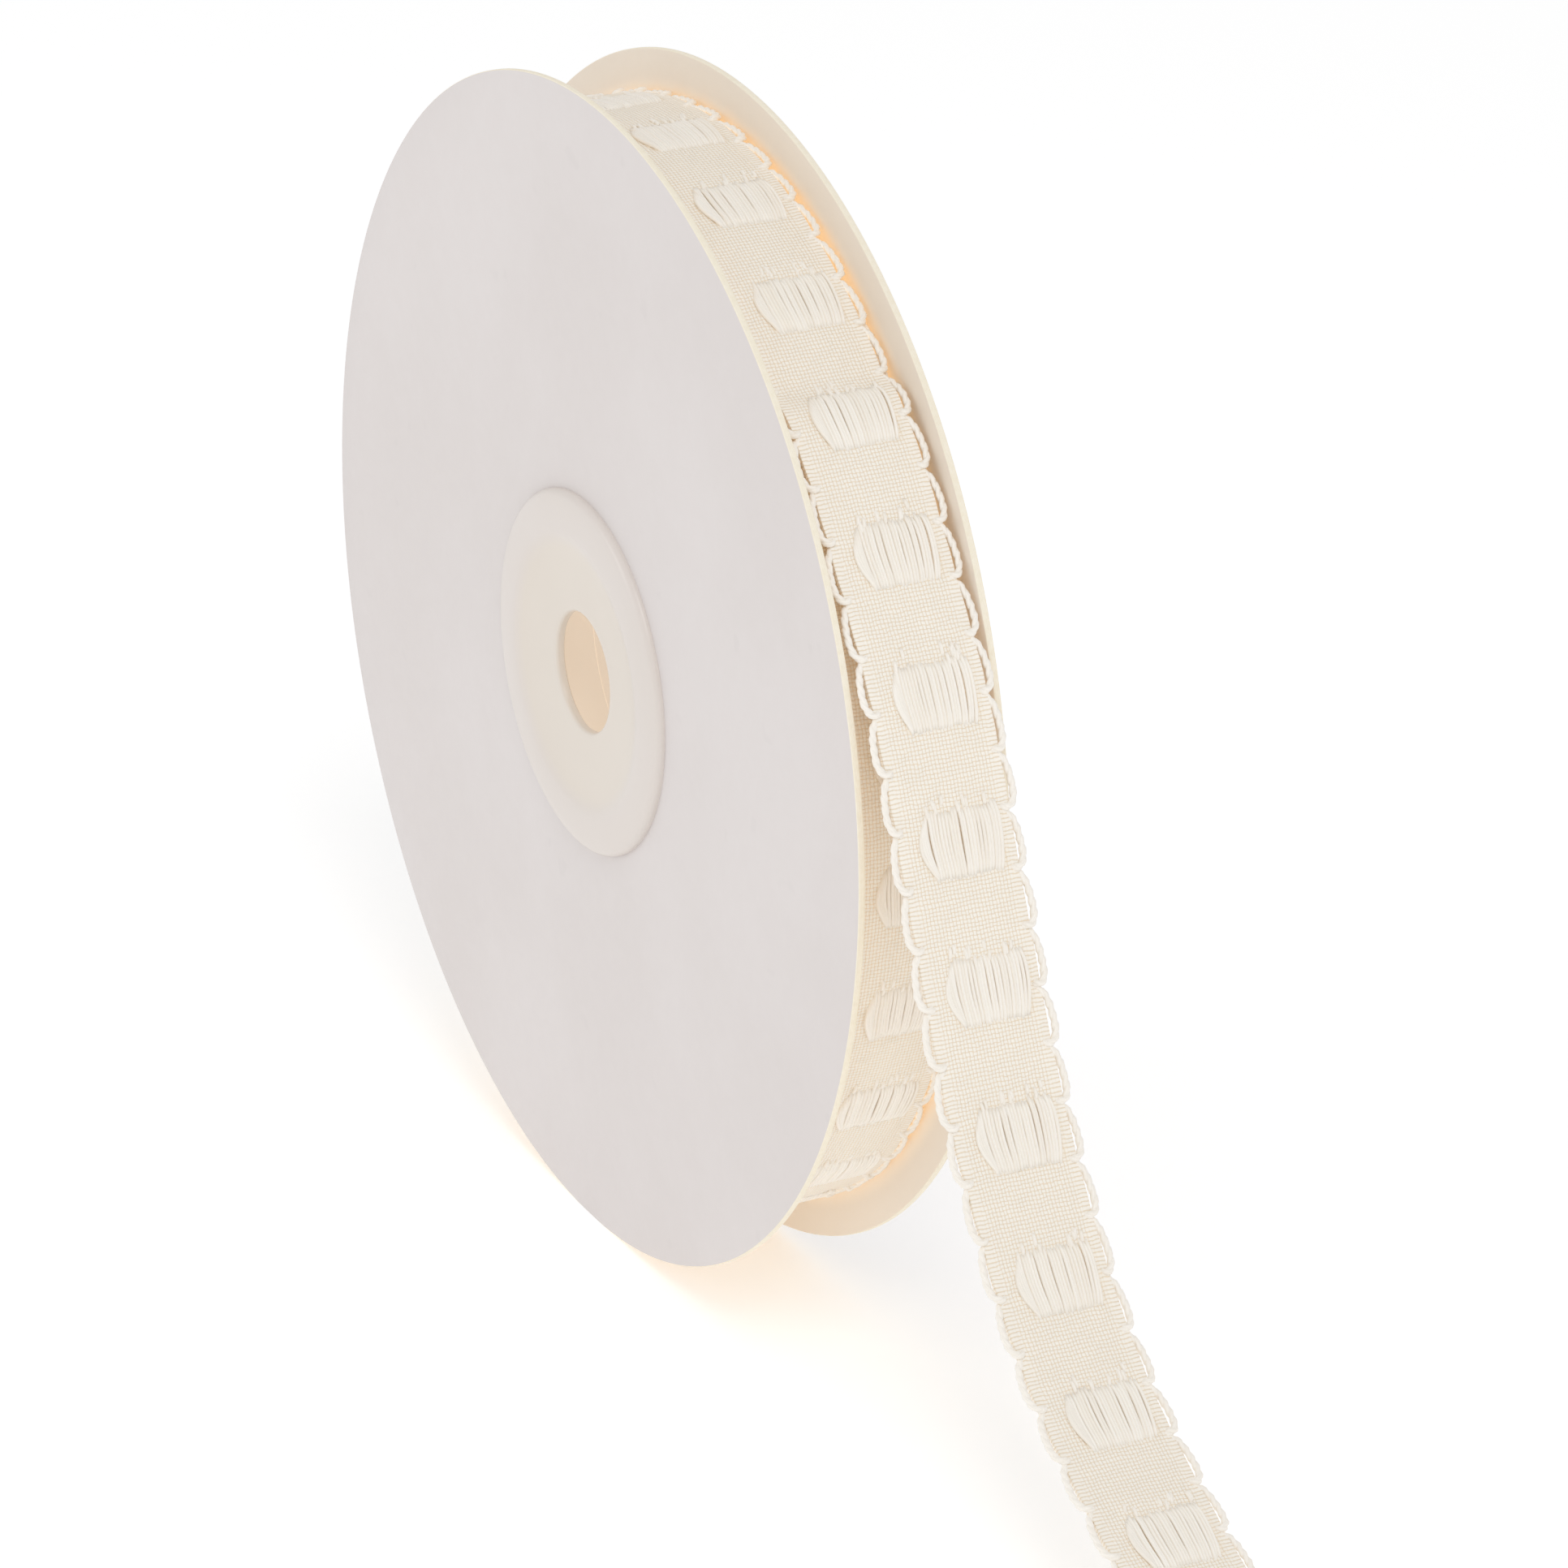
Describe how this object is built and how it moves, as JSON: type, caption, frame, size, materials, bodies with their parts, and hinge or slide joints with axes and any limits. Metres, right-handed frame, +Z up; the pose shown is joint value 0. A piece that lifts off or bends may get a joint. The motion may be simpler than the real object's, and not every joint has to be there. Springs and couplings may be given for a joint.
{
  "type": "spool of gift ribbon",
  "caption": "Narrow cream gift ribbon with looped edges wound on a flat board spool with a moulded hub, its loose end curving down to the table.",
  "frame": {"origin": "on the surface the spool stands on, under the middle of its whole box, loose end included", "axes": "+Z up; the spool's axis lies along Y, its front face looks towards -Y; the loose end comes off towards +X"},
  "size_m": [0.1546, 0.014, 0.0919],
  "materials": {
    "board": "smooth white-coated board, satin",
    "hub": "off-white moulded plastic, soft gloss",
    "ribbon": "cream woven ribbon with floating threads and looped edges"
  },
  "bodies": {
    "root": {"flange_front": "board", "flange_back": "board", "hub_front": "hub", "hub_back": "hub", "ribbon_roll": "ribbon", "ribbon_tail": "ribbon"}
  },
  "joints": []
}
